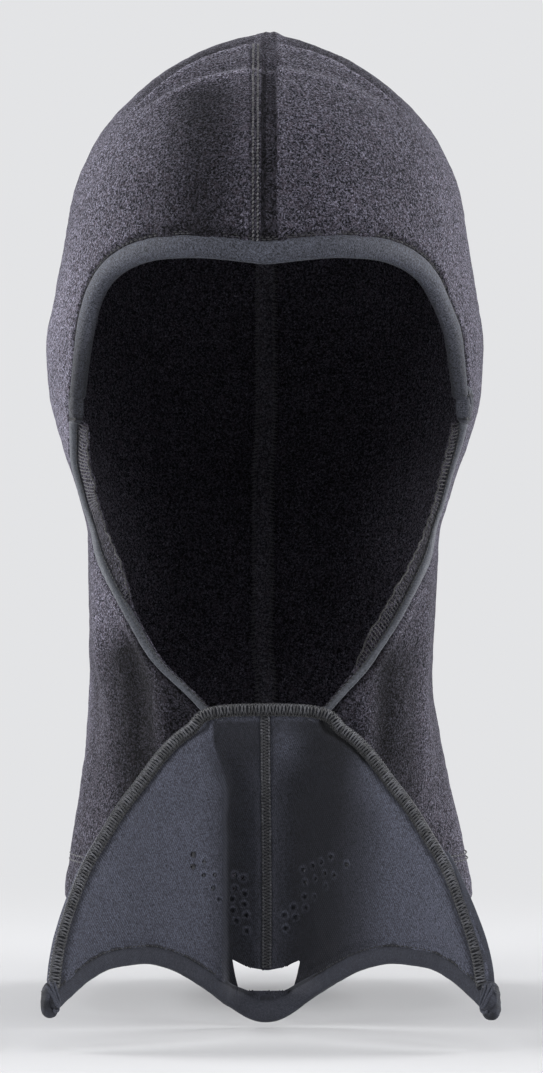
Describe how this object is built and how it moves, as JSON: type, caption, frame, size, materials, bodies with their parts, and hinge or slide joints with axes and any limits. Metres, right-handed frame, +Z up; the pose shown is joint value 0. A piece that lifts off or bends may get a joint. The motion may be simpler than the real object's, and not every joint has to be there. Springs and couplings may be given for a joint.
{
  "type": "ski balaclava with flip-down face mask",
  "caption": "Fleece ski balaclava with a bound face opening and a perforated knit face mask hinged at the chin, shown flipped down, with magnet tips.",
  "frame": {"origin": "centre of the overall bounding box in plan, at the height of the hanging mask's lowest point", "axes": "+Z up the neck and head, -Y the way the face looks, +X the wearer's left; the hood is symmetric about the YZ plane"},
  "size_m": [0.1674, 0.2546, 0.3707],
  "materials": {
    "fleece": "brushed charcoal fleece, matte",
    "tricot_binding": "smooth elastic knit, low sheen",
    "knit_neoprene": "fine jersey face on soft foam, matte",
    "thread": "textured polyester thread",
    "magnet": "nickel plated",
    "label_tape": "blank woven tape"
  },
  "bodies": {
    "hood": {"hood_panel_left": "fleece", "hood_panel_right": "fleece", "crown_seam_allowance": "fleece", "crown_seam_coverstitch": "thread", "throat_seam_coverstitch": "thread", "brow_binding": "tricot_binding", "brow_binding_stitch": "thread", "jaw_binding_left": "tricot_binding", "jaw_binding_right": "tricot_binding", "temple_magnet_pocket_left": "tricot_binding", "temple_magnet_pocket_right": "tricot_binding", "temple_magnet_left": "magnet", "temple_magnet_right": "magnet", "temple_bar_tack_left": "thread", "temple_bar_tack_right": "thread", "neck_hem_band": "fleece", "neck_hem_coverstitch": "thread", "care_label": "label_tape"},
    "mask": {"chin_hinge_overlock": "thread", "mask_panel_left": "knit_neoprene", "mask_panel_right": "knit_neoprene", "mask_center_coverstitch": "thread", "mask_edge_overlock_left": "thread", "mask_edge_overlock_right": "thread", "eye_edge_binding_left": "tricot_binding", "eye_edge_binding_right": "tricot_binding", "eye_edge_stitch_left": "thread", "eye_edge_stitch_right": "thread", "nose_bridge_strap": "tricot_binding", "tip_magnet_pocket_left": "tricot_binding", "tip_magnet_pocket_right": "tricot_binding", "tip_magnet_left": "magnet", "tip_magnet_right": "magnet", "tip_bar_tack_left": "thread", "tip_bar_tack_right": "thread"}
  },
  "joints": [
    {"name": "mask_flip", "type": "hinge", "parent": "hood", "child": "mask", "pos_m": [0, -0.0624, 0.1135], "axis": [-1, 0, 0], "range_deg": [0, 162.5]}
  ]
}
